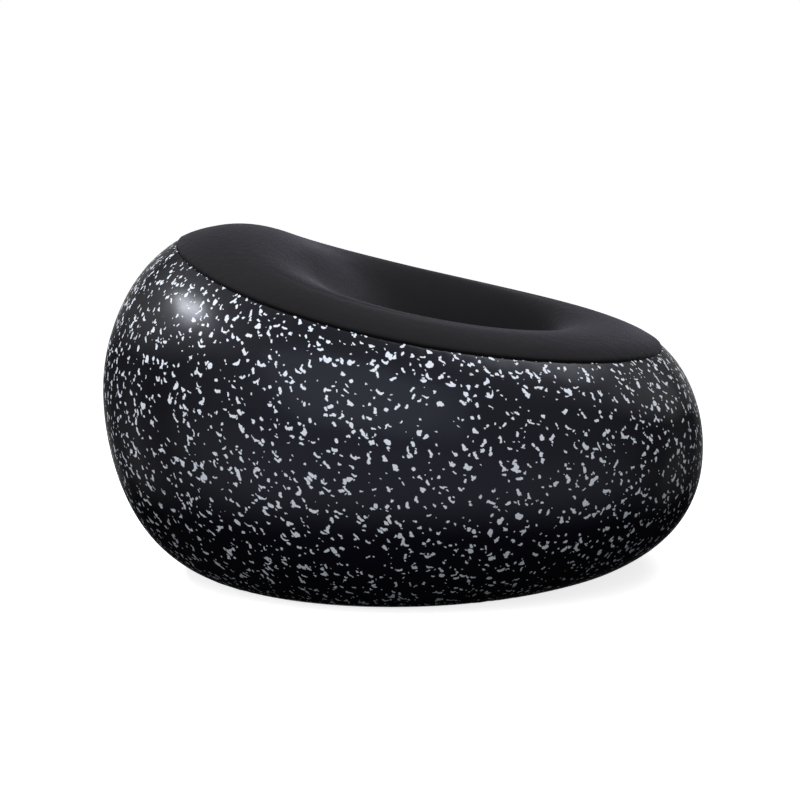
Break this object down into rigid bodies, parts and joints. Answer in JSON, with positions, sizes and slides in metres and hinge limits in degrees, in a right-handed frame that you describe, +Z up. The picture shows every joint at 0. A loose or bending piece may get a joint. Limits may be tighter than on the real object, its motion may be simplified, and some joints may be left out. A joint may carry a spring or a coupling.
{
  "type": "inflatable lounge chair",
  "caption": "Round inflatable lounge chair with a raised back, a sunken flocked seat, speckled film sides and a screw valve.",
  "frame": {"origin": "on the floor, under the middle of the chair's round body", "axes": "+X towards the low front edge, +Y to the sitter's left, +Z up; the raised back and the butt joint of the side panel are at -X"},
  "size_m": [1.12, 1.12, 0.645],
  "materials": {
    "printed_film": "glossy near-black vinyl film printed with irregular pale flecks",
    "flock": "short-pile charcoal flock on vinyl film, matt with a soft sheen",
    "plain_film": "plain black vinyl film, semi-gloss",
    "strap_film": "grey vinyl film, matt",
    "valve_pvc": "moulded black vinyl, satin",
    "soft_pvc": "soft moulded grey vinyl, satin",
    "seal_rubber": "matt black rubber"
  },
  "bodies": {
    "air_body": {"side_panel": "printed_film", "side_joint_tape": "plain_film", "top_panel": "flock", "seat_floor": "flock", "base_panel": "plain_film", "tie_strap_1": "strap_film", "tie_strap_2": "strap_film", "tie_strap_3": "strap_film", "tie_strap_4": "strap_film", "tie_strap_5": "strap_film", "tie_strap_6": "strap_film", "tie_strap_7": "strap_film", "tie_strap_8": "strap_film", "valve_base": "valve_pvc"},
    "seal": {"valve_seal": "seal_rubber"},
    "insert": {"valve_insert": "valve_pvc"},
    "cap": {"valve_cap": "soft_pvc"},
    "flap": {"check_flap": "soft_pvc"}
  },
  "joints": [
    {"name": "insert_lift", "type": "slide", "parent": "air_body", "child": "seal", "axis": [-0.7654, 0.4499, -0.4602], "range_m": [0, 0.006]},
    {"name": "insert_turn", "type": "hinge", "parent": "seal", "child": "insert", "pos_m": [-0.44231, 0.25537, 0.12907], "axis": [-0.7654, 0.4499, -0.4602], "range_deg": [0, 540]},
    {"name": "cap_swing", "type": "hinge", "parent": "insert", "child": "cap", "pos_m": [-0.45815, 0.26468, 0.13802], "axis": [0.5067, 0.8621, 0], "range_deg": [0, 165]},
    {"name": "flap_swing", "type": "hinge", "parent": "insert", "child": "flap", "pos_m": [-0.44653, 0.25785, 0.14286], "axis": [-0.5067, -0.8621, 0], "range_deg": [0, 65], "stiffness_Nm_per_rad": 0.0003}
  ],
  "couplings": [
    {"joint": "insert_turn", "follows": "insert_lift", "rad_per_m": 1570.8}
  ]
}
